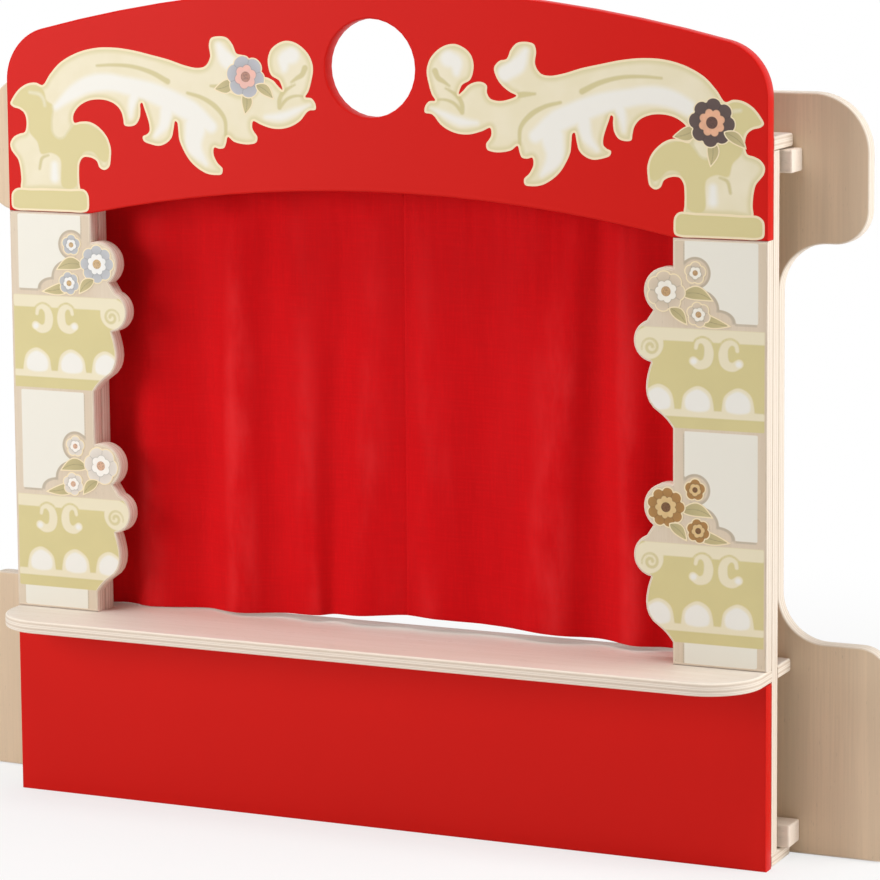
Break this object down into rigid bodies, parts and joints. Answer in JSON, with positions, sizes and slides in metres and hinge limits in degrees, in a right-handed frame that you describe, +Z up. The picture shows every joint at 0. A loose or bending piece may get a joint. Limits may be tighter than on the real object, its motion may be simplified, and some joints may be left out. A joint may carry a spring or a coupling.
{
  "type": "puppet theater stand",
  "caption": "Table-top plywood puppet theater with arched red header, corbelled columns, stage shelf, drawn red curtains and two side wings that swing back.",
  "frame": {"origin": "middle of the base board's underside, which rests on the table", "axes": "+X to the right along the front, +Y to the back, +Z up; the painted front faces -Y"},
  "size_m": [0.929, 0.1501, 0.7655],
  "materials": {
    "red_paint": "satin red lacquer over birch plywood",
    "column_print": "ivory and gold print on clear-lacquered birch plywood",
    "natural_ply": "clear-lacquered birch plywood with bare edges",
    "wing_ply": "clear-lacquered birch plywood, warmer veneer",
    "solid_wood": "planed solid beech, matt",
    "red_cloth": "plain woven red cotton",
    "zinc_steel": "bright zinc plate"
  },
  "bodies": {
    "front": {"header_panel": "red_paint", "apron_panel": "red_paint", "left_column_panel": "column_print", "right_column_panel": "column_print", "left_post": "natural_ply", "right_post": "natural_ply", "stage_shelf": "natural_ply", "base_board": "natural_ply", "top_board": "natural_ply", "left_upper_hinge_pin": "zinc_steel", "right_upper_hinge_pin": "zinc_steel", "left_lower_hinge_pin": "zinc_steel", "right_lower_hinge_pin": "zinc_steel", "left_hinge_washer": "zinc_steel", "right_hinge_washer": "zinc_steel", "curtain_rod": "solid_wood", "left_rod_bracket": "solid_wood", "right_rod_bracket": "solid_wood", "left_bracket_screw_1": "zinc_steel", "left_bracket_screw_2": "zinc_steel", "right_bracket_screw_1": "zinc_steel", "right_bracket_screw_2": "zinc_steel", "left_post_screw_1": "zinc_steel", "left_post_screw_2": "zinc_steel", "left_post_screw_3": "zinc_steel", "left_post_screw_4": "zinc_steel", "right_post_screw_1": "zinc_steel", "right_post_screw_2": "zinc_steel", "right_post_screw_3": "zinc_steel", "right_post_screw_4": "zinc_steel", "left_top_board_screw": "zinc_steel", "right_top_board_screw": "zinc_steel", "left_base_board_screw": "zinc_steel", "right_base_board_screw": "zinc_steel", "shelf_dowel_1": "solid_wood", "shelf_dowel_2": "solid_wood", "shelf_dowel_3": "solid_wood", "header_dowel_1": "solid_wood", "header_dowel_2": "solid_wood"},
    "left_wing": {"left_wing": "wing_ply", "left_upper_hinge_block": "solid_wood", "left_lower_hinge_block": "solid_wood", "left_upper_block_screw_1": "zinc_steel", "left_upper_block_screw_2": "zinc_steel", "left_lower_block_screw_1": "zinc_steel", "left_lower_block_screw_2": "zinc_steel"},
    "right_wing": {"right_wing": "wing_ply", "right_upper_hinge_block": "solid_wood", "right_lower_hinge_block": "solid_wood", "right_upper_block_screw_1": "zinc_steel", "right_upper_block_screw_2": "zinc_steel", "right_lower_block_screw_1": "zinc_steel", "right_lower_block_screw_2": "zinc_steel"},
    "left_curtain": {"left_curtain": "red_cloth"},
    "right_curtain": {"right_curtain": "red_cloth"}
  },
  "joints": [
    {"name": "left_wing_swing", "type": "hinge", "parent": "front", "child": "left_wing", "pos_m": [-0.3, 0.012, 0.32], "axis": [0, 0, -1], "range_deg": [-3, 87]},
    {"name": "right_wing_swing", "type": "hinge", "parent": "front", "child": "right_wing", "pos_m": [0.3, 0.012, 0.32], "axis": [0, 0, 1], "range_deg": [0, 90]},
    {"name": "left_curtain_draw", "type": "slide", "parent": "front", "child": "left_curtain", "axis": [-1, 0, 0], "range_m": [0, 0.21], "deforming": ["left_curtain"]},
    {"name": "right_curtain_draw", "type": "slide", "parent": "front", "child": "right_curtain", "axis": [1, 0, 0], "range_m": [0, 0.205], "deforming": ["right_curtain"]}
  ]
}
